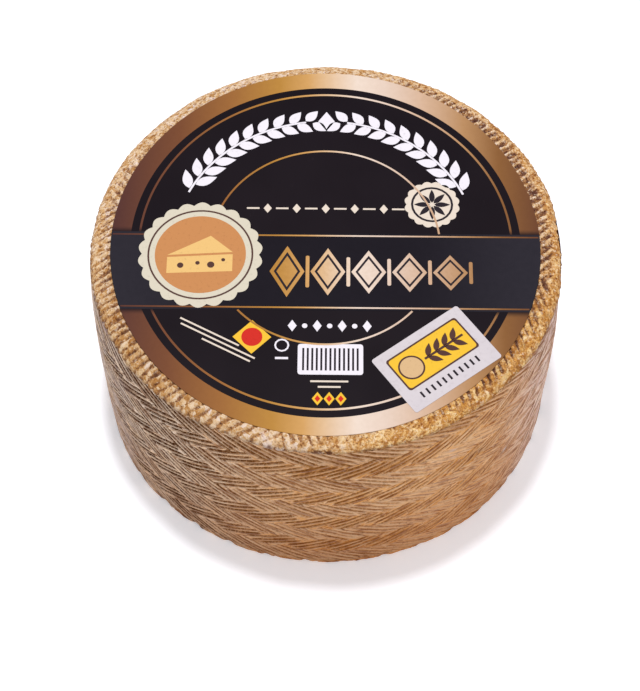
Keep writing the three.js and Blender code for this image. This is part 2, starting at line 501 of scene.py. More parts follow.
GOLD_STOPS = [
    (-88, colour(80, 47, 44)),
    (-62, colour(118, 72, 46)),
    (-40, colour(154, 102, 53)),
    (-20, colour(182, 132, 60)),
    (-8, colour(206, 157, 94)),
    (0, colour(219, 183, 142)),
    (13, colour(232, 213, 197)),
    (25, colour(224, 201, 184)),
    (42, colour(207, 172, 143)),
    (58, colour(179, 135, 92)),
    (72, colour(136, 92, 52)),
    (88, colour(104, 64, 42)),
]
LABEL_BLACK = colour(23, 16, 22)
WHITE = colour(255, 255, 255)


def label_place(finish):
    """How far right and how far back a point is from the label's middle, in millimetres."""
    place = finish.place()
    right = finish.part(place, "X") * (1 / MM) - LABEL_X
    back = finish.part(place, "Y") * (1 / MM) - LABEL_Y
    return right, back


def gold_shade(finish, right):
    share = right * (1 / (2 * LABEL_RADIUS)) + 0.5
    stops = [((x + LABEL_RADIUS) / (2 * LABEL_RADIUS), shade) for x, shade in GOLD_STOPS]
    return finish.ramp(share, stops)


def off_band(finish, back):
    """0 on and by the band across the label, and 1 away from it."""
    from_band = abs(back - (BAND_TOP + BAND_BASE) / 2) - (BAND_TOP - BAND_BASE) / 2
    return finish.step(from_band, 0.6, 4.2)


def paper_grain(finish, cells, darkest):
    """The fine grain of printed paper, from a given colour to white."""
    grain = finish.noise(finish.place(), per_mm(cells), detail=2.0)
    return finish.ramp(grain, [(0.3, darkest), (0.7, WHITE)])


def gold_finish():
    """Printed gold that runs from brown over ochre to cream, and fades into black by the band."""
    gold = Finish("gold_print", 0.5, specular=0.08)
    right, back = label_place(gold)
    grain = paper_grain(gold, 0.5, colour(236, 232, 226))
    body = gold.tint(0.25, gold_shade(gold, right), grain)
    gold.base(gold.mix(off_band(gold, back), LABEL_BLACK, body))
    return gold


def line_gold_finish():
    """The same gold for the lines and motifs, which stay bright over the band."""
    gold = Finish("gold_lines", 0.5, specular=0.08)
    right = label_place(gold)[0]
    grain = paper_grain(gold, 0.6, colour(224, 214, 200))
    gold.base(gold.tint(0.35, gold_shade(gold, right), grain))
    return gold


def label_finish():
    """Black coated paper with a faint unevenness and a few pale rubs."""
    paper = Finish("label_black", 0.42, specular=0.06)
    place = paper.place()
    clouds = paper.noise(place, per_mm(0.03), detail=2.0)
    rubs = paper.noise(paper.stretched(place, (1, 0.35, 1)), per_mm(0.4), detail=4.0, roughness=0.7)
    body = paper.mix(paper.step(clouds, 0.3, 0.7), LABEL_BLACK, colour(27, 20, 26))
    body = paper.mix(paper.step(rubs, 0.68, 0.85) * 0.3, body, colour(70, 62, 66))
    right, back = label_place(paper)
    from_middle = paper.node("ShaderNodeMath", {"operation": "SQRT"}, {0: right * right + back * back})
    edge = paper.step(from_middle, LABEL_RADIUS - 0.5, LABEL_RADIUS - 0.2) * off_band(paper, back)
    body = paper.mix(edge, body, gold_shade(paper, right))
    paper.base(body)
    paper.roughness(0.38 + 0.12 * rubs)
    return paper


def band_finish():
    """The band across the label is a little lighter and bluer, most at its ends, where the extra lightness is
    a painted sheen.
    """
    paper = Finish("label_band", 0.42, specular=0.06)
    right = label_place(paper)[0]
    # Painted sheen: the band grows lighter towards its ends.
    ends = paper.step(abs(right), 30, LABEL_RADIUS)
    body = paper.mix(ends, colour(26, 22, 30), colour(43, 40, 48))
    paper.base(paper.tint(0.4, body, paper_grain(paper, 0.4, colour(226, 226, 230))))
    return paper


def ink_finish(name, red, green, blue, wear_and_highlight=0.25):
    """A printed ink with a fine grain, a little thinner in places."""
    ink = Finish(name, 0.5, specular=0.08)
    grain = ink.noise(ink.place(), per_mm(0.7), detail=3.0, roughness=0.6)
    thin = ink.step(grain, 0.45, 0.25)
    ink.base(ink.tint(thin * wear_and_highlight, colour(red, green, blue), colour(170, 165, 165)))
    return ink


def sticker_finish():
    """Plain sticker paper, a little lilac, with a soft fibre in it."""
    paper = Finish("sticker_white", 0.55, specular=0.2)
    place = paper.place()
    fibre = paper.noise(place, per_mm(0.6), detail=4.0, roughness=0.6)
    clouds = paper.noise(place, per_mm(0.05), detail=2.0)
    body = paper.mix(paper.step(clouds, 0.3, 0.7), colour(212, 204, 207), colour(207, 199, 203))
    paper.base(paper.tint(paper.step(fibre, 0.5, 0.3) * 0.25, body, colour(222, 216, 218)))
    paper.relief(fibre, 0.05, 0.3)
    return paper


def floor_finish():
    floor = Finish("studio_floor", 0.8, specular=0.1)
    clouds = floor.noise(floor.place(), 3.0, detail=2.0)
    floor.base(floor.mix(clouds, colour(244, 246, 251), colour(242, 244, 250)))
    floor.shader.inputs["Emission Color"].default_value = (1, 1, 1, 1)
    floor.shader.inputs["Emission Strength"].default_value = 0.31
    return floor


# The plaited side
def strand_axes(leans_right):
    """The cosine and signed sine of a strand's direction, in a row that rises to the right or falls."""
    return math.cos(STRAND_SLOPE), math.sin(STRAND_SLOPE) * (1 if leans_right else -1)


def row_rises(row):
    return row % 2 == 1


def plait_strength(angles, row):
    """How deeply the band was pressed in, by place. It is blurred at the right."""
    pressed = 1.0 if row_rises(row) else 0.78
    if row == 0:
        pressed = 1.0
    left = 0.7 * angle_hump(204, 36, angles)
    blurred = 0.35 * smooth_step(0.1, 0.6, angle_hump(322, 32, angles))
    return (pressed + left - blurred) * (1 - 0.035 * row)


def plait_relief(angles, down):
    """How deep the grooves between the strands are at each point, from 0 to about 1.
    down counts the rows from the crease."""
    random = np.random.default_rng(41)
    slips = random.uniform(-1, 1, (PLAIT_ROWS, STRAND_GROUPS, 3, 4))
    deepest = np.zeros_like(angles)
    for row in range(PLAIT_ROWS):
        near = (down > row - 0.35) & (down < row + 1.35)
        if not near.any():
            continue
        spot_angles = angles[near]
        up = (row + 0.5 - down[near]) * ROW_HEIGHT
        rises = row_rises(row)
        along_x, along_y = strand_axes(rises)
        phase = 0 if rises else 0.5
        nearest = np.round(np.remainder(spot_angles, TURN) / TURN * STRAND_GROUPS - phase)
        found = np.zeros_like(spot_angles)
        for side_step in (-1, 0, 1):
            group = nearest + side_step
            middle = (group + phase) / STRAND_GROUPS * TURN
            right = (np.remainder(spot_angles - middle + math.pi, TURN) - math.pi) * MEAN_RADIUS
            index = np.remainder(group, STRAND_GROUPS).astype(int)
            for strand in (-1, 0, 1):
                slip = slips[row, index, strand + 1]
                u = right * along_x + up * along_y - STRAND_STAGGER * strand
                v = up * along_x - right * along_y
                v = v + (STRAND_PITCH * strand if rises else -STRAND_PITCH * strand) + 0.16 * slip[:, 0]
                half = STRAND_LENGTH / 2 + 0.9 * slip[:, 1]
                across = 1 - smooth_step(0.25, 1.3, np.abs(v))
                ends = 1 - smooth_step(-1.0, 0.6, np.abs(u + 0.6 * slip[:, 2]) - half)
                found = np.maximum(found, across * ends * (0.85 + 0.15 * slip[:, 3]))
        found = found * plait_strength(spot_angles, row)
        deepest[near] = np.maximum(deepest[near], found)
    return deepest


def side_columns():
    """Angles of the mesh's columns half way down a row, with one on each groove of either kind of row."""
    groove_step = STRAND_PITCH / math.sin(STRAND_SLOPE) / GROUP_PITCH
    rising = [0, groove_step, 1 - groove_step]
    falling = [(0.5 + step) % 1 for step in rising]
    lattice = sorted(rising + falling)
    starts = [group + share for group in range(STRAND_GROUPS) for share in lattice]
    ends = starts[1:] + [STRAND_GROUPS]
    shares = np.arange(COLUMNS_PER_STRAND) / COLUMNS_PER_STRAND
    groups = [start + (end - start) * share for start, end in zip(starts, ends) for share in shares]
    return np.array(groups) / STRAND_GROUPS * TURN


def side_stations():
    """The rings of the side: how many rows down each ring of the band is, and then, from the band
    to the middle of the base, each ring's height and how far it is inside the band's lower edge."""
    band = np.arange(PLAIT_ROWS * ROW_STEPS + 1) / ROW_STEPS
    turn_in = [(1.8, 0.0), (1.15, 0.1), (0.6, 0.4), (0.25, 0.9), (0.05, 1.7)]
    flat = [(0.0, inset) for inset in (2.8, 4.2, 5.6, 7.2, 9.0, 11.0, 16.0, 32.0, 62.0)]
    return band, turn_in + flat


side_slow = uneven(3, 26, 22)
side_lumps = uneven(5, 120, 5)
side_crumbs = uneven(9, 420, 1.6)


def side_rind(finish):
    """The side with its print, from its edge tucked in under the rim to the middle of the base."""
    band, under = side_stations()
    lean = ROW_HEIGHT / math.tan(STRAND_SLOPE) / MEAN_RADIUS
    zigzag = np.abs(np.remainder(band + 1, 2) - 1) - 0.5
    tucked = [(13.0, 0.5), (3.2, 0.55), (1.2, 0.4)]
    down = np.concatenate([np.zeros(len(tucked)), band, np.full(len(under), PLAIT_ROWS)])
    leans = np.concatenate([np.full(len(tucked), zigzag[0]), zigzag, np.full(len(under), zigzag[-1])])
    angles = side_columns()[None, :] + leans[:, None] * lean
    top = crease_height(angles) - SIDE_TOP_DROP
    heights = top + (BASE_ROUND - top) * (down[:, None] / PLAIT_ROWS)
    full = outline(angles) - side_inset(angles, heights)

    relief = plait_relief(angles, np.broadcast_to(down[:, None], angles.shape))
    gouges = gouge_depth(angles, heights)
    seen_flat = 0.45 * angle_hump(188, 26, angles) + 0.45 * angle_hump(352, 26, angles)
    print_depth = 1.1 * np.minimum(relief, 1) * (1 - seen_flat)
    radii = full + side_swell(angles, heights) - print_depth - side_dents(angles, heights) - gouges
    for step, (inward, raised) in enumerate(tucked):
        radii[step] = full[step] - inward
        heights[step] = top[step] + raised
    first_under = len(tucked) + len(band)
    turn_under(angles, radii, heights, first_under, under)

    insets = [0] * first_under + [inset for height, inset in under]
    upright = smooth_step(7, 1, np.array(insets, float))[:, None]
    on_crests = 1 - 0.85 * np.minimum(relief, 1)
    marks = {
        "groove": relief * upright,
        "grey": side_grey(angles) * upright,
        "pink": side_pink(angles, heights) * upright,
        "cream": side_row_highlight(angles, down) * upright,
        "dusk": side_painted_shade(angles, heights) * (0.5 + 0.5 * upright),
        "bloom": side_bloom(angles, heights) * upright * on_crests,
        # The scrapes' hollows add painted shade to the smudges.
        "stain": np.clip(side_stain_and_shade(angles, heights) + gouges * 0.5, 0, 1) * upright,
    }
    piece = ring_piece("side_rind", angles, radii, heights, heights[0].mean() - 1.5, 0.3, finish)
    mark_all(piece, marks)
    first_flat = first_under + sum(height > 0 for height, inset in under)
    mark_strands(piece, angles, down, first_flat)
    return piece


def side_dents(angles, heights):
    """Slow and small unevenness of the side, which is rougher along the base's edge."""
    dents = 0.22 * (1 - side_slow(angles, heights)) + 0.1 * (1 - side_lumps(angles, heights))
    edge = 0.28 * side_lumps(angles, heights * 1.5) + 0.15 * side_crumbs(angles, heights)
    return dents + smooth_step(9, 0, heights) * edge


def turn_under(angles, radii, heights, first_under, under):
    """Sets the rings that turn in under the base, where the press board left shallow ribs."""
    edge = radii[first_under - 1]
    for row, (height, inset) in enumerate(under, first_under):
        crumbs = 1 + side_crumbs(angles[row], inset)
        ribs = 0.5 + 0.5 * np.sin(rib_count(angles[row], edge - inset) * TURN)
        lift = 0.55 * hump(8.4, 3.4, inset) * smooth_step(0.35, 0.75, ribs) + 0.12 * crumbs
        radii[row] = edge - inset
        heights[row] = height + (lift if height == 0 else 0.25 * crumbs)
    heights[:] = np.maximum(heights, 0)


def side_swell(angles, heights):
    """The side swells a little at the left, and low down at the lower right."""
    left = 1.2 * angle_hump(203, 17, angles) * smooth_step(104, 88, heights)
    return left + 1.2 * angle_hump(310, 20, angles) * smooth_step(45, 8, heights)


def gouge_depth(angles, heights):
    """A few scrapes and small holes that show in the side."""
    across = (angles - math.radians(311)) * MEAN_RADIUS
    scrape = hump(0, 4.5, across) * hump(62, 2.2, heights + 0.3 * across) * 0.7
    lower = hump(-3, 3.5, across) * hump(52, 1.6, heights - 0.2 * across) * 0.6
    return scrape + lower


def side_grey(angles):
    """Where the side is greyer: round its left."""
    return 0.9 * smooth_step(0.05, 0.75, angle_hump(200, 46, angles))


def side_pink(angles, heights):
    """Where the side is paler and pinkish: at its right, below the crease."""
    return 0.95 * smooth_step(0.1, 0.8, angle_hump(358, 34, angles)) * smooth_step(106, 99, heights)


def side_row_highlight(angles, down):
    """Painted highlight: the strands are paler in the falling rows, most in front, where their crests catch
    the light.
    """
    falling = np.abs(np.remainder(down, 2) - 0.5) < 0.5
    return 0.6 * falling[:, None] * angle_hump(272, 34, angles)


def side_painted_shade(angles, heights):
    """Painted shade: the rind is darker towards the base and round the left, where less light falls on it."""
    low = smooth_step(70, 8, heights) * (1 - 0.5 * angle_hump(0, 40, angles))
    return np.clip(low + 0.1 * angle_hump(215, 40, angles), 0, 1)


def side_bloom(angles, heights):
    """A few small white flecks on the side, and pale patches round its left."""
    places = [(196, 100, 1.6), (303, 78, 1.1), (303.5, 72, 0.9), (247, 70, 0.8), (322, 40, 0.9)]
    flecks = np.zeros_like(angles)
    for degrees, height, size in places:
        across = (angles - math.radians(degrees)) * MEAN_RADIUS
        flecks += hump(0, size, across) * hump(height, size * 0.7, heights)
    left_patches = uneven(53, 210, 3.5)
    flecks += 0.6 * angle_hump(198, 15, angles) * smooth_step(-0.5, 0.7, left_patches(angles, heights))
    return np.clip(flecks, 0, 0.85)


def side_stain_and_shade(angles, heights):
    """Dark smudges under the crease at the right and along the base's edge, and painted shade in a narrow
    band just under the crease all round and in the scrapes.
    """
    spots = uneven(15, 90, 4)
    below_crease = crease_height(angles) - heights
    places = [(298, 3.2, 2.6), (321, 2.6, 2.4), (284, 1.6, 1.8), (337, 5, 4.5), (347, 3, 3)]
    smudges = np.zeros_like(angles)
    for degrees, width, reach in places:
        smudges += angle_hump(degrees, width, angles) * hump(2.2, reach, below_crease)
    base = smooth_step(7, 0.5, heights) * smooth_step(0.1, 0.8, spots(angles, heights))
    # The last term is painted shade in a narrow band just under the crease.
    return 0.75 * smudges + 0.6 * base + 0.6 * smooth_step(1.6, 0.6, below_crease)


def mark_strands(piece, angles, down, first_flat):
    """Stores each corner's place along and across the strands of its own row, and, from the first
    flat ring under the base inwards, its place on the press board, whose grain runs along X."""
    rows, columns = angles.shape
    wrapped = np.hstack([angles, angles[:, :1] + TURN])
    corners = np.zeros((rows - 1, columns, 4, 3))
    for row in range(rows - 1):
        plait_row = min(int(down[row]), PLAIT_ROWS - 1)
        along_x, along_y = strand_axes(row_rises(plait_row))
        sides = [(row, 0), (row + 1, 0), (row + 1, 1), (row, 1)]
        for corner, (ring, shift) in enumerate(sides):
            right = wrapped[ring, shift:shift + columns] * MEAN_RADIUS
            up = (plait_row + 0.5 - down[ring]) * ROW_HEIGHT
            corners[row, :, corner, 0] = right * along_x + up * along_y
            corners[row, :, corner, 1] = up * along_x - right * along_y
            corners[row, :, corner, 2] = plait_row * ROW_GRAIN_APART
    stored = np.zeros((len(piece.data.loops), 3), np.float32)
    stored[:corners.size // 3] = corners.reshape(-1, 3)
    loops = np.zeros(len(piece.data.loops), int)
    piece.data.loops.foreach_get("vertex_index", loops)
    places = np.zeros(3 * len(piece.data.vertices))
    piece.data.vertices.foreach_get("co", places)
    first_loop = (first_flat - 1) * columns * 4
    stored[first_loop:, :2] = places.reshape(-1, 3)[loops[first_loop:], :2] / MM
    stored[first_loop:, 2] = BASE_GRAIN_APART
    piece.data.attributes.new("strand", "FLOAT_VECTOR", "CORNER").data.foreach_set("vector", stored.ravel())


# The ribbed rim
def rib_count(angles, radii):
    """How many ribs lie between a point and the line through the axis along its quarter's ribs."""
    quarter = TURN / 4
    index = (np.remainder(angles - FIRST_QUARTER + quarter / 2, TURN) / quarter).astype(int) % 4
    direction = FIRST_QUARTER + index * quarter + np.array(QUARTER_SLEWS)[index]
    return radii * np.sin(angles - direction) / RIB_PITCH


def label_edge(angles):
    """How far the label's edge is from the wheel's axis."""
    toward = LABEL_X * np.cos(angles) + LABEL_Y * np.sin(angles)
    aside = LABEL_X * np.sin(angles) - LABEL_Y * np.cos(angles)
    return toward + np.sqrt(LABEL_RADIUS ** 2 - aside ** 2)


def rim_stations():
    """The rim from under the label outwards and over its edge: shares of the way from the lip
    to the label, and drops, at even steps along it."""
    shares, drops = np.array(RIM_KNOTS).T
    mean_width = MEAN_RADIUS - LIP_INSET - LABEL_RADIUS
    lengths = np.concatenate([[0], np.cumsum(np.hypot(np.diff(shares) * mean_width, np.diff(drops)))])
    places = np.linspace(0, lengths[-1], int(lengths[-1] / RIM_STEP) + 1)
    return np.interp(places, lengths, shares), np.interp(places, lengths, drops)


rim_wander = uneven(21, 70, 7)
rim_slow = uneven(29, 60, 5)
rim_lumps = uneven(31, 230, 2.4)
rim_edge = uneven(39, 60, 5)
rim_facets = crumb_facets(33, 2.1)
rim_small_facets = crumb_facets(35, 1.0)


def rim_crumbly(angles):
    """Where the ribs were rubbed down to crumbs: in front, and less at the back."""
    rubbed = angle_hump(285, 17, angles) + 0.7 * angle_hump(105, 34, angles)
    return np.clip(rubbed, 0, 1)


def rim_rough(angles):
    """Where the flakes of the rim are broken up small: least at the lower left and lower right."""
    smooth = 1.1 * angle_hump(232, 42, angles) + 0.65 * angle_hump(322, 22, angles)
    return np.clip(1.1 - smooth, 0, 1)


def rim_distinct(angles):
    """How clearly the ribs stand apart: least at the upper left and the back."""
    return 1 - 0.62 * angle_hump(138, 28, angles) - 0.5 * angle_hump(92, 22, angles)


def rim_open(angles):
    """Where the gaps between the ribs are wide and dark: round the right."""
    return smooth_step(0.1, 0.8, angle_hump(28, 44, angles))


def rim_golden(angles):
    """Where the rim is golden rather than cream: at the right, lower right and in front."""
    right = angle_hump(318, 26, angles) + 0.75 * angle_hump(5, 40, angles)
    return np.clip(right + 0.7 * angle_hump(280, 22, angles), 0, 1)


def near_label(share):
    """1 on the half of the rim by the label and 0 on the outer one, with a soft change."""
    return smooth_step(0.3, 0.7, share)


def rim_reach(angles, by_label):
    """How far out the gaps run: nearly to the edge at the lower left, and half way elsewhere."""
    outside = 0.3 + 0.6 * angle_hump(226, 44, angles)
    return outside + (1 - outside) * by_label


def rim_gap(angles, radii, share, along):
    """How deep the gaps between the ribs are at each point, from 0 to 1."""
    around = angles * MEAN_RADIUS
    by_label = near_label(share)
    ribs = rib_count(angles, radii) + 0.16 * rim_wander(angles, along)
    from_gap = np.abs(np.remainder(ribs, 1) - 0.5) * 2
    width = 0.5 - 0.1 * angle_hump(322, 26, angles) + 0.26 * rim_open(angles)
    width += 0.2 * rim_slow(angles, along + 20) + 0.14 * rim_lumps(angles, along + 11)
    width += 0.2 * rim_facets(around + 60, along) + 0.16 * rim_small_facets(around + 40, along)
    gap = 1 - smooth_step(width - 0.3, width + 0.08, 1 - from_gap)
    gap = gap * rim_distinct(angles) * rim_reach(angles, by_label)
    return np.clip(gap * (1 - 0.78 * rim_crumbly(angles)) * (0.9 + 0.3 * rim_lumps(angles, along)), 0, 1)


def rim_depth(angles, share, along, gap):
    """How far the gaps and crumbs lie under the rim's smooth form, which is raised by the label."""
    around = angles * MEAN_RADIUS
    crumb = 0.7 * rim_facets(around, along) + 0.35 * rim_small_facets(around, along)
    crumb += 0.3 * rim_lumps(angles, along)
    crumb_depth = 0.15 + 0.22 * rim_crumbly(angles) + 0.15 * rim_open(angles)
    by_label = near_label(share)
    rib_depth = RIB_DEPTH * (0.7 + 0.3 * by_label) * (1 - 0.5 * smooth_step(0.82, 1.0, share))
    depth = rib_depth * gap + crumb_depth * (1 - crumb)
    depth -= RAISED_EDGE * smooth_step(0.55, 0.85, share)
    shown = smooth_step(1.05, 0.98, share)
    return depth * shown + (1 - shown) * (0.5 + RIB_DEPTH * gap)


def rim_pits(angles, along):
    """Small pits in patches, from 0 to 1."""
    crumb = rim_small_facets(angles * MEAN_RADIUS + 31, along + 17)
    return smooth_step(-0.2, 0.2, crumb + 0.5 * rim_lumps(angles, along + 9))


def rim_gap_dark_and_shade(angles, share, along, gap):
    """Where the rim is dark: in the gaps, most by the label, and in pits along the label's edge. This
    darkness is partly the rind's colour and partly painted shade in the deep gaps and under the label's edge.
    """
    pits = rim_pits(angles, along)
    start = 0.3 - 0.28 * angle_hump(222, 42, angles) - 0.4 * rim_open(angles)
    burn = smooth_step(0.35, 0.7, gap) * smooth_step(start, start + 0.3, share) * (0.35 + 0.65 * pits)
    burn *= (0.8 + 0.2 * rim_open(angles)) * (1 - 0.55 * angle_hump(256, 15, angles))
    slots = smooth_step(0.3, 0.6, gap) * smooth_step(0.5, 0.75, share) * angle_hump(322, 28, angles)
    by_edge = (0.2 + 0.2 * rim_crumbly(angles)) * smooth_step(0.8, 0.97, share) * pits
    return np.maximum(np.maximum(burn, slots), by_edge)


def rim_shade(angles, along, drop):
    """Where the rim's edge turns dark towards the crease, with ragged holes in front, and where
    the whole rim is a little darker: at the left and lower right."""
    ragged = rim_lumps(angles, 3 + 0 * along) + 0.6 * rim_small_facets(angles * MEAN_RADIUS + 5, along)
    holes = smooth_step(0.1, 0.4, ragged) * angle_hump(266, 19, angles)
    crease = smooth_step(4.4 - 1.0 * holes, 5.5 - 0.9 * holes, drop) * (0.4 + 0.55 * holes)
    lower_right = 0.3 * angle_hump(330, 20, angles) * rim_pits(angles, along)
    left = 0.13 * angle_hump(214, 26, angles)
    return np.maximum(np.maximum(crease, lower_right), left)


def rim_pale(angles, share):
    """Where the rim is cream to white: at the upper left, the left, in front and by the label
    at the right."""
    pale = 0.35 * angle_hump(145, 50, angles) + 0.5 * rim_crumbly(angles)
    pale += 1.0 * angle_hump(257, 18, angles) + 0.3 * angle_hump(178, 20, angles)
    pale += 0.7 * rim_open(angles) * near_label(share)
    return np.clip(pale, 0, 1)


def rim_gold(angles, share, along):
    """Where the rim is golden, with its outer half everywhere a little so, in patches."""
    by_label = near_label(share)
    outer = (0.45 - 0.35 * angle_hump(250, 22, angles)) * (1 - by_label) * rim_distinct(angles)
    golden = np.maximum(rim_golden(angles), outer) * (1 - 0.75 * by_label * rim_open(angles))
    patches = smooth_step(0.1, 0.5, rim_facets(angles * MEAN_RADIUS + 77, along))
    return np.clip(golden * (1 - 0.4 * patches), 0, 1)


def top_rim(finish):
    """The ribbed rim, from its edge tucked in under the label out to the lip and down the crease."""
    shares, drops = rim_stations()
    tucked = [(2.6, 0.7), (3.8, 0.85), (14.0, 1.0)]
    columns = np.arange(RIM_COLUMNS) / RIM_COLUMNS * TURN
    angles = np.broadcast_to(columns, (len(shares) + len(tucked), RIM_COLUMNS)).copy()
    shown = angles[:len(shares)]
    share = shares[:, None] + 0 * shown
    along = np.arange(len(shares))[:, None] * RIM_STEP + 0 * shown
    sag = (WHEEL_HEIGHT - CREASE_DROP - crease_height(shown)) / CREASE_DROP
    drop = drops[:, None] * (1 + sag * 0.9)
    full = outline(shown)
    lip_inset = LIP_INSET + pressed_in(shown) + 0.3 * rim_edge(shown, 0 * shown)
    inset = lip_inset + share * (full - lip_inset - label_edge(shown))

    gap = rim_gap(shown, full - inset, share, along)
    depth = rim_depth(shown, share, along, gap)
    lean_out = smooth_step(0.5, 0.05, share)
    radii = np.zeros_like(angles)
    heights = np.zeros_like(angles)
    radii[:len(shares)] = full - inset - depth * lean_out * 0.85
    heights[:len(shares)] = WHEEL_HEIGHT - drop - depth * (1 - 0.75 * lean_out)
    for row, (inward, raised) in enumerate(tucked, len(shares)):
        radii[row] = outline(columns) - inward
        heights[row] = crease_height(columns) - SIDE_TOP_DROP + raised

    base_middle = heights[-1].mean() - 0.9
    piece = ring_piece("top_rim", angles, radii, heights, WHEEL_HEIGHT - 0.5, base_middle, finish)
    marks = {
        "gap": (gap, 1),
        "burn": (rim_gap_dark_and_shade(shown, share, along, gap), 1),
        "rough": (rim_rough(shown), 1),
        "pale": (rim_pale(shown, share), 0),
        "golden": (rim_gold(shown, share, along), 0),
        "shade": (rim_shade(shown, along, drop), 1),
    }
    hidden = np.ones((len(tucked), RIM_COLUMNS))
    mark_all(piece, {name: np.vstack([values, hidden * inner]) for name, (values, inner) in marks.items()})
    return piece


# Flat shapes for the print
def moved(points, x, y, turn=0.0):
    """A shape turned, and then moved to its place."""
    c, s = math.cos(turn), math.sin(turn)
    return [(x + c * px - s * py, y + s * px + c * py) for px, py in points]


def circle(radius, sides=48):
    angles = [TURN * i / sides for i in range(sides)]
    return [(radius * math.cos(angle), radius * math.sin(angle)) for angle in angles]


def box_shape(width, height, corner=0.0):
    """A rectangle about its middle, with round corners where a corner radius is given."""
    corners = [(1, 1), (-1, 1), (-1, -1), (1, -1)]
    if not corner:
        return [(x * width / 2, y * height / 2) for x, y in corners]
    steps = 4
    points = []
    for quarter, (x, y) in enumerate(corners):
        for step in range(steps + 1):
            angle = (quarter + step / steps) * TURN / 4
            centre_x = x * (width / 2 - corner)
            centre_y = y * (height / 2 - corner)
            points.append((centre_x + corner * math.cos(angle), centre_y + corner * math.sin(angle)))
    return points


def lozenge(width, height):
    return [(width / 2, 0), (0, height / 2), (-width / 2, 0), (0, -height / 2)]


def leaf(length, width, steps=7):
    """A pointed leaf along +X from its stalk, fullest before its middle."""
    shares = [step / steps for step in range(steps + 1)]
    upper = [(length * s, width / 2 * math.sin(math.pi * s ** 0.8)) for s in shares]
    return upper[::-1][:-1] + [(x, -y) for x, y in upper][:-1]


def scallops(radius, depth, count, steps=8):
    """A round shape with an edge of bumps."""
    def point(angle):
        reach = radius + depth * (abs(math.sin(angle * count / 2)) - 1)
        return reach * math.cos(angle), reach * math.sin(angle)
    total = count * steps
    return [point(TURN * i / total) for i in range(total)]


class Print:
    """All that is printed in one ink: thin flat prisms on the paper, in the label's own places."""

    def __init__(self, name, finish, slot, level=0, paper_top=LABEL_TOP):
        self.name = name
        self.finish = finish
        self.slot = slot
        self.base = paper_top - INK_SUNK
        self.top = paper_top + INK_THICKNESS * (1 + level)
        self.points = []
        self.faces = []

    def patch(self, outline_points):
        """A filled shape whose outline runs the positive way round."""
        count = len(outline_points)
        first = len(self.points)
        for height in (self.base, self.top):
            self.points += [(LABEL_X + x, LABEL_Y + y, height) for x, y in outline_points]
        under = [first + i for i in range(count)]
        over = [first + count + i for i in range(count)]
        self.faces.append(under[::-1])
        self.faces.append(over)
        for i in range(count):
            n = (i + 1) % count
            self.faces.append([under[i], under[n], over[n], over[i]])

    def strip(self, outer, inner, closed):
        """A long shape between two lines of as many points, the outer one on the right of travel."""
        count = len(outer)
        first = len(self.points)
        for height in (self.base, self.top):
            for line in (outer, inner):
                self.points += [(LABEL_X + x, LABEL_Y + y, height) for x, y in line]
        out_low, in_low, out_high, in_high = [[first + k * count + i for i in range(count)] for k in range(4)]
        for i in range(count if closed else count - 1):
            n = (i + 1) % count
            self.faces.append([out_high[i], out_high[n], in_high[n], in_high[i]])
            self.faces.append([out_low[i], in_low[i], in_low[n], out_low[n]])
            self.faces.append([out_low[i], out_low[n], out_high[n], out_high[i]])
            self.faces.append([in_low[n], in_low[i], in_high[i], in_high[n]])
        if not closed:
            self.faces.append([in_low[0], out_low[0], out_high[0], in_high[0]])
            self.faces.append([out_low[-1], in_low[-1], in_high[-1], out_high[-1]])

    def arc(self, outer, inner, start, end, x=0.0, y=0.0):
        """Part of a ring, or a whole ring where start and end are a turn apart."""
        closed = abs(end - start - TURN) < 1e-6
        steps = max(12, int((end - start) * outer / 2.2))
        angles = [start + (end - start) * i / steps for i in range(steps if closed else steps + 1)]
        lines = [[(x + r * math.cos(a), y + r * math.sin(a)) for a in angles] for r in (outer, inner)]
        self.strip(lines[0], lines[1], closed)

    def frame(self, outline_points, share):
        """A shape's outline as a line, with its inner edge scaled about the shape's middle."""
        middle_x = sum(x for x, y in outline_points) / len(outline_points)
        middle_y = sum(y for x, y in outline_points) / len(outline_points)
        inner = [(middle_x + (x - middle_x) * share, middle_y + (y - middle_y) * share)
                 for x, y in outline_points]
        self.strip(outline_points, inner, True)

    def finished(self):
        piece = new_piece(self.name, self.points, self.faces, self.finish, smooth=False)
        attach(piece, "root")


# The label's print
def print_border(gold, lines):
    """The gold border, a fine ring in it, and an inner ring that the band interrupts."""
    gold.arc(LABEL_RADIUS - 0.1, BORDER_INNER, 0, TURN)
    gold.arc(LINE_RADIUS + 0.45, LINE_RADIUS - 0.45, 0, TURN)
    outer = INNER_LINE_RADIUS + LINE_WIDTH / 2
    inner = INNER_LINE_RADIUS - LINE_WIDTH / 2
    above = math.asin((BAND_TOP + BAND_OVERLAP) / INNER_LINE_RADIUS)
    below = math.asin((BAND_OVERLAP - BAND_BASE) / INNER_LINE_RADIUS)
    lines.arc(outer, inner, above, math.pi - above)
    lines.arc(outer, inner, math.pi + below, TURN - below)


def print_band(band, lines):
    """The band and its two lines, from edge to edge of the label."""
    steps = 24
    top_y = BAND_TOP + BAND_OVERLAP
    base_y = BAND_BASE - BAND_OVERLAP
    reach = LABEL_RADIUS - 0.1
    right_low = math.asin(base_y / reach)
    right_high = math.asin(top_y / reach)
    angles = [right_low + (right_high - right_low) * i / steps for i in range(steps + 1)]
    right = [(reach * math.cos(a), reach * math.sin(a)) for a in angles]
    left = [(-x, y) for x, y in right[::-1]]
    band.patch(right + left)
    for y in (BAND_TOP, BAND_BASE):
        end = math.sqrt(reach ** 2 - y ** 2) - 0.4
        lines.patch(moved(box_shape(2 * end, 0.7), 0, y))


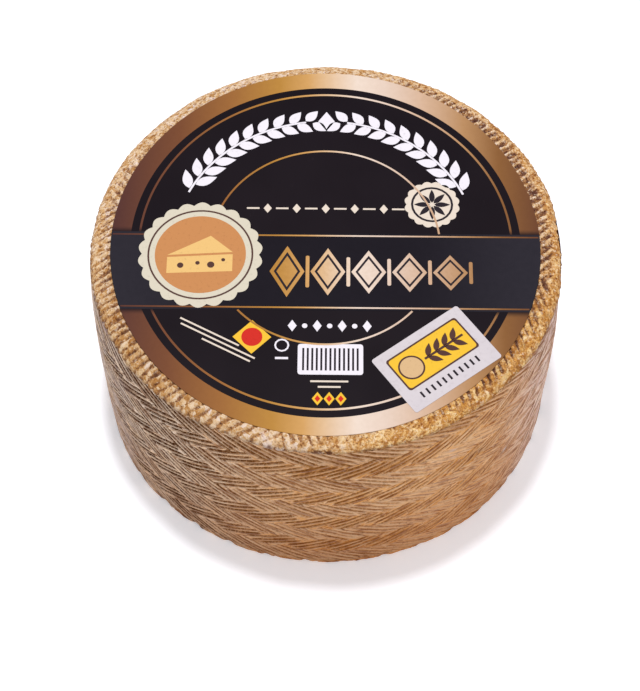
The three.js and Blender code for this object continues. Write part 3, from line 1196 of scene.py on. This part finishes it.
def print_sprays(white):
    """Two leafy sprays that follow the label's upper edge and meet at a small lozenge."""
    pairs = 10
    first = math.radians(154)
    last = math.radians(98)
    for mirror in (1, -1):
        def put(shape, angle, radius, turn):
            x, y = radius * math.cos(angle), radius * math.sin(angle)
            points = moved(shape, x, y, angle - math.pi / 2 + turn)
            if mirror < 0:
                points = [(-px, py) for px, py in points][::-1]
            white.patch(points)
        for pair in range(pairs):
            angle = first + (last - first) * pair / (pairs - 1)
            length = 9.6 - 0.25 * pair
            put(leaf(length, 4.3), angle, SPRAY_RADIUS + 0.7, math.radians(38))
            put(leaf(length, 4.3), angle - 0.045, SPRAY_RADIUS - 0.7, math.radians(-38))
        start, end = (last, first + 0.03) if mirror > 0 else (math.pi - first - 0.03, math.pi - last)
        white.arc(SPRAY_RADIUS + 0.45, SPRAY_RADIUS - 0.45, start, end)
    white.patch(moved(lozenge(7.0, 10.0), 0, SPRAY_RADIUS))


def print_rule(cream):
    """A fine rule of small lozenges and dashes over the band."""
    count = 11
    reach = 30
    rule_y = 18
    for index in range(count):
        x = reach * (2 * index / (count - 1) - 1)
        shape = lozenge(3.4, 4.6) if index % 2 else box_shape(5.2, 0.8)
        cream.patch(moved(shape, x, rule_y))


def print_rosette(cream, dark):
    """A round rosette at the right."""
    x, y = 44.0, 20.5
    radius = 11.5
    cream.patch(moved(scallops(radius, 0.9, 16), x, y))
    dark.arc(radius * 0.76, radius * 0.68, 0, TURN, x, y)
    for petal in range(8):
        turn = petal * TURN / 8
        dark.patch(moved(leaf(radius * 0.58, 2.4), x + 0.9 * math.cos(turn), y + 0.9 * math.sin(turn), turn))


def print_frieze(lines, dark):
    """Graduated gold lozenges with bars between them, on the band."""
    spacing = 16.6
    first_x = -15.5
    middle_y = -12.8
    for index in range(5):
        x = first_x + spacing * index
        height = 24.5 - 1.9 * index
        lines.patch(moved(lozenge(14.2, height), x, middle_y))
        dark.frame(moved(lozenge(10.8, height * 0.76), x, middle_y), 0.8)
        lines.patch(moved(box_shape(1.5, height * 0.62, 0.6), x + spacing / 2, middle_y))


def print_cheese_disc(ivory, tan, brown, yellow):
    """A scalloped disc at the left with a plain wedge of cheese on it."""
    x, y = -51.0, -5.0
    ivory.patch(moved(scallops(25.5, 1.6, 22), x, y))
    brown.arc(21.6, 20.9, 0, TURN, x, y)
    tan.patch(moved(circle(18.6, 64), x, y))
    top = [(-13.5, -0.5), (13.2, 1.2), (4.0, 9.0)]
    front = [(-13.5, -1.5), (-13.5, -9.2), (13.2, -8.0), (13.2, 0.2)]
    yellow.patch(moved(top, x, y))
    yellow.patch(moved(front, x, y))
    for hole_x, hole_y, size in [(-8.0, -5.4, 1.3), (-1.0, -4.2, 0.9), (4.4, -5.0, 1.5), (9.4, -2.6, 0.8)]:
        brown.patch(moved(circle(size, 20), x + hole_x, y + hole_y))


def print_small_marks(yellow, red, white, cream):
    """Small marks under the band."""
    yellow.patch(moved(lozenge(15.5, 15.5), -29.0, -43.8))
    red.patch(moved(circle(4.2, 32), -29.0, -43.8))
    white.arc(3.0, 2.3, 0, TURN, -17.0, -47.5)
    white.patch(moved(box_shape(5.2, 1.0), -17.0, -53.4))
    for index in range(7):
        x = -13 + 5.0 * index
        white.patch(moved(lozenge(3.6, 5.4) if index % 2 == 0 else circle(1.1, 16), x, -38.4))
    for line, length in enumerate((27, 34, 22)):
        centre_x = -46 + 3.4 * line
        cream.patch(moved(box_shape(length, 0.75), centre_x, -41.5 - 4.2 * line, math.radians(-28)))


def print_striped_box(white, dark):
    """A pale box of evenly spaced stripes."""
    x, y = 2.4, -53.8
    white.patch(moved(box_shape(26, 14, 1.2), x, y))
    stripes = 13
    for index in range(stripes):
        stripe_x = x + (index - (stripes - 1) / 2) * 1.8
        dark.patch(moved(box_shape(0.8, 10.2), stripe_x, y))


def print_foot(cream, yellow, red):
    """Two short bars and a row of small lozenges at the label's foot."""
    middle_x = 2.0
    cream.patch(moved(box_shape(15, 0.8), middle_x, -63.8))
    cream.patch(moved(box_shape(9, 0.8), middle_x, -66.3))
    for index in (-1, 0, 1):
        x = middle_x + 4.6 * index
        yellow.patch(moved(lozenge(4.4, 6.0), x, -71.6))
        red.patch(moved(lozenge(2.2, 3.0), x, -71.6))


def print_sticker(yellow, brown, ink, tan):
    """A yellow panel in a brown frame, with a disc and a leafy twig on it, over a row of short strokes."""
    def at(points, x, y):
        return moved(moved(points, x, y), STICKER_X, STICKER_Y, STICKER_TURN)
    middle_y = 2.6
    disc_x = -10.5
    line = 0.7
    yellow.patch(at(box_shape(35.0, 16.5, 1.5), 0, middle_y))
    panel_outer = at(box_shape(35.0, 16.5, 1.2), 0, middle_y)
    panel_inner = at(box_shape(35.0 - 2 * line, 16.5 - 2 * line, 1.2), 0, middle_y)
    brown.strip(panel_outer, panel_inner, True)
    disc_outer = at(circle(5.4, 40), disc_x, middle_y)
    tan.patch(disc_outer)
    brown.strip(disc_outer, at(circle(5.4 - line, 40), disc_x, middle_y), True)
    brown.patch(at(box_shape(19.0, 1.0), 5.6, middle_y))
    for index in range(4):
        for side in (1, -1):
            twig_leaf = moved(leaf(6.2, 2.5), 0.1, side * 0.2, side * math.radians(48))
            brown.patch(at(twig_leaf, -2.4 + 4.1 * index, middle_y))
    for index in range(11):
        ink.patch(at(box_shape(0.9, 2.9), -14.5 + 2.75 * index, -9.6))


def print_all():
    """All ink pieces. Where two overlap, the one on a higher level lies on top."""
    sheets = []

    def sheet(name, finish, level=0, slot="label_paper", paper_top=LABEL_TOP):
        sheets.append(Print(name, finish, slot, level, paper_top))
        return sheets[-1]

    def on_sticker(name, finish, level=0):
        return sheet(name, finish, level, "sticker_paper", STICKER_TOP)

    white = ink_finish("white_ink", 236, 231, 238)
    cream = ink_finish("cream_ink", 226, 212, 196)
    ivory = ink_finish("ivory_ink", 214, 206, 186)
    tan = ink_finish("tan_ink", 198, 136, 84)
    pale_tan = ink_finish("pale_tan_ink", 214, 178, 132)
    brown = ink_finish("brown_ink", 84, 56, 50)
    yellow = ink_finish("yellow_ink", 238, 190, 56)
    pale_yellow = ink_finish("cheese_ink", 232, 190, 120)
    red = ink_finish("red_ink", 206, 44, 34)
    dark = ink_finish("dark_ink", 40, 33, 40)

    border_print = sheet("border_print", gold_finish())
    band_print = sheet("band_print", band_finish(), 1)
    line_print = sheet("line_print", line_gold_finish(), 2)
    frieze_dark = sheet("frieze_dark", dark, 3)
    white_print = sheet("white_print", white)
    cream_print = sheet("cream_print", cream)
    disc_ivory = sheet("disc_ivory", ivory, 3)
    disc_tan = sheet("disc_tan", tan, 4)
    disc_yellow = sheet("disc_yellow", pale_yellow, 5)
    disc_brown = sheet("disc_brown", brown, 6)
    mark_yellow = sheet("mark_yellow", yellow)
    mark_red = sheet("mark_red", red, 1)
    mark_dark = sheet("mark_dark", dark, 1)
    sticker_yellow = on_sticker("sticker_yellow", yellow)
    sticker_tan = on_sticker("sticker_tan", pale_tan, 1)
    sticker_brown = on_sticker("sticker_brown", brown, 2)
    sticker_dark = on_sticker("sticker_dark", dark)

    print_border(border_print, line_print)
    print_band(band_print, line_print)
    print_sprays(white_print)
    print_rule(cream_print)
    print_rosette(cream_print, mark_dark)
    print_frieze(line_print, frieze_dark)
    print_cheese_disc(disc_ivory, disc_tan, disc_brown, disc_yellow)
    print_small_marks(mark_yellow, mark_red, white_print, cream_print)
    print_striped_box(white_print, mark_dark)
    print_foot(cream_print, mark_yellow, mark_red)
    print_sticker(sticker_yellow, sticker_brown, sticker_dark, sticker_tan)
    for made in sheets:
        made.finished()


# The studio
def studio_floor():
    half = 3.0
    points = [(-half, -half, 0), (half, -half, 0), (half, half, 0), (-half, half, 0)]
    floor = new_piece("floor", np.array(points) / MM, [[0, 1, 2, 3]], floor_finish(), smooth=False)


def soft_light(name, place, target, size, power):
    lamp = bpy.data.lights.new(name, "AREA")
    lamp.shape = "DISK"
    lamp.size = size
    lamp.energy = power
    holder = bpy.data.objects.new(name, lamp)
    holder.location = place
    aim = Vector(target) - Vector(place)
    holder.rotation_euler = aim.to_track_quat("-Z", "Y").to_euler()
    bpy.context.scene.collection.objects.link(holder)


def studio_light():
    world = bpy.data.worlds.new("studio")
    world.use_nodes = True
    sky = world.node_tree.nodes["Background"]
    sky.inputs["Color"].default_value = (0.97, 0.955, 1.0, 1.0)
    sky.inputs["Strength"].default_value = 0.49
    bpy.context.scene.world = world
    middle = (0, 0, 0.05)
    soft_light("key", (-0.05, 0.13, 1.8), middle, 0.15, 18.5)
    soft_light("front_fill", (0.9, -1.2, 0.9), middle, 1.0, 3)
    bpy.context.scene.view_settings.view_transform = "Standard"


def photo_camera():
    """The camera looks down on the wheel from the front, about sixty degrees below the level."""
    tilt, roll, turn = math.radians(30.2), math.radians(-0.16), math.radians(0.52)
    shot = bpy.data.cameras.new("camera")
    shot.sensor_width = 36
    shot.lens = 108.75
    holder = bpy.data.objects.new("camera", shot)
    holder.location = Vector((-0.6, -466.9, 826.1)) * MM
    holder.rotation_euler = Euler((tilt, roll, turn), "XYZ")
    bpy.context.scene.collection.objects.link(holder)
    bpy.context.scene.camera = holder


def dress(node, finish):
    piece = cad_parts[node]
    piece.data.materials.clear()
    piece.data.materials.append(finish.material)


for rind in (side_rind(side_finish()), top_rim(rim_finish())):
    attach(rind, "root")
    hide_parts("wheel")
dress("label", label_finish())
dress("sticker", sticker_finish())
print_all()
studio_floor()
studio_light()
photo_camera()
